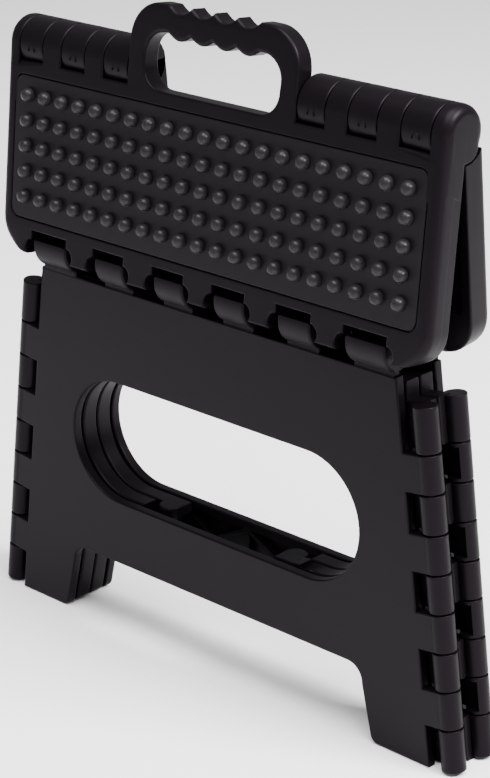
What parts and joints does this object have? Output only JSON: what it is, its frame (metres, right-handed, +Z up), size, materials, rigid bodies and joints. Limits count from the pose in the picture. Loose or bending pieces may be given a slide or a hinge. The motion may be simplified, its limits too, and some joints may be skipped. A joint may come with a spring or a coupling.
{
  "type": "folding step stool",
  "caption": "Folding plastic step stool, folded flat: two legs with grip hole and feet, hinged tread halves with dotted mats and carry handle, folding sides.",
  "frame": {"origin": "on the floor under the middle of the folded stool, midway between its two legs", "axes": "+X to the right along the tread, +Y from the near leg to the far leg, +Z up"},
  "size_m": [0.324, 0.0516, 0.3423],
  "materials": {
    "black_plastic": "charcoal black polypropylene, fine satin grain",
    "grip_dots": "soft dark grey rubber studs on a black mat",
    "hinge_rod": "plain drawn steel wire"
  },
  "bodies": {
    "near_leg": {"near_leg": "black_plastic", "near_tread_rod": "hinge_rod", "near_left_corner_rod": "hinge_rod", "near_right_corner_rod": "hinge_rod"},
    "near_tread": {"near_tread": "black_plastic", "near_grip_mat": "grip_dots", "centre_left_rod": "hinge_rod", "centre_right_rod": "hinge_rod"},
    "far_tread": {"far_tread": "black_plastic", "far_grip_mat": "grip_dots"},
    "far_leg": {"far_leg": "black_plastic", "far_tread_rod": "hinge_rod", "far_left_corner_rod": "hinge_rod", "far_right_corner_rod": "hinge_rod"},
    "near_left_side": {"near_left_side": "black_plastic", "left_lower_fold_rod": "hinge_rod", "left_upper_fold_rod": "hinge_rod"},
    "far_left_side": {"far_left_side": "black_plastic"},
    "near_right_side": {"near_right_side": "black_plastic", "right_lower_fold_rod": "hinge_rod", "right_upper_fold_rod": "hinge_rod"},
    "far_right_side": {"far_right_side": "black_plastic"}
  },
  "joints": [
    {"name": "near_tread_hinge", "type": "hinge", "parent": "near_leg", "child": "near_tread", "pos_m": [0, -0.0107, 0.206], "axis": [-1, 0, 0], "range_deg": [0, 83.9]},
    {"name": "centre_hinge", "type": "hinge", "parent": "near_tread", "child": "far_tread", "pos_m": [0, 0, 0.30744], "axis": [1, 0, 0], "range_deg": [0, 167.8]},
    {"name": "far_tread_hinge", "type": "hinge", "parent": "far_tread", "child": "far_leg", "pos_m": [0, 0.0107, 0.206], "axis": [-1, 0, 0], "range_deg": [0, 83.9]},
    {"name": "left_corner_hinge", "type": "hinge", "parent": "near_leg", "child": "near_left_side", "pos_m": [-0.156, -0.0107, 0], "axis": [0.1289, 0, 0.9917], "range_deg": [0, 83.9]},
    {"name": "right_corner_hinge", "type": "hinge", "parent": "near_leg", "child": "near_right_side", "pos_m": [0.156, -0.0107, 0], "axis": [0.1289, 0, -0.9917], "range_deg": [0, 83.9]},
    {"name": "left_fold_hinge", "type": "hinge", "parent": "near_left_side", "child": "far_left_side", "pos_m": [-0.05541, 0, -0.01308], "axis": [-0.1289, 0, -0.9917], "range_deg": [0, 167.8]},
    {"name": "right_fold_hinge", "type": "hinge", "parent": "near_right_side", "child": "far_right_side", "pos_m": [0.05541, 0, -0.01308], "axis": [-0.1289, 0, 0.9917], "range_deg": [0, 167.8]}
  ],
  "couplings": [
    {"joint": "centre_hinge", "follows": "near_tread_hinge", "ratio": 2},
    {"joint": "far_tread_hinge", "follows": "near_tread_hinge", "ratio": 1},
    {"joint": "left_corner_hinge", "follows": "near_tread_hinge", "ratio": 1},
    {"joint": "right_corner_hinge", "follows": "near_tread_hinge", "ratio": 1},
    {"joint": "left_fold_hinge", "follows": "near_tread_hinge", "ratio": 2},
    {"joint": "right_fold_hinge", "follows": "near_tread_hinge", "ratio": 2}
  ]
}
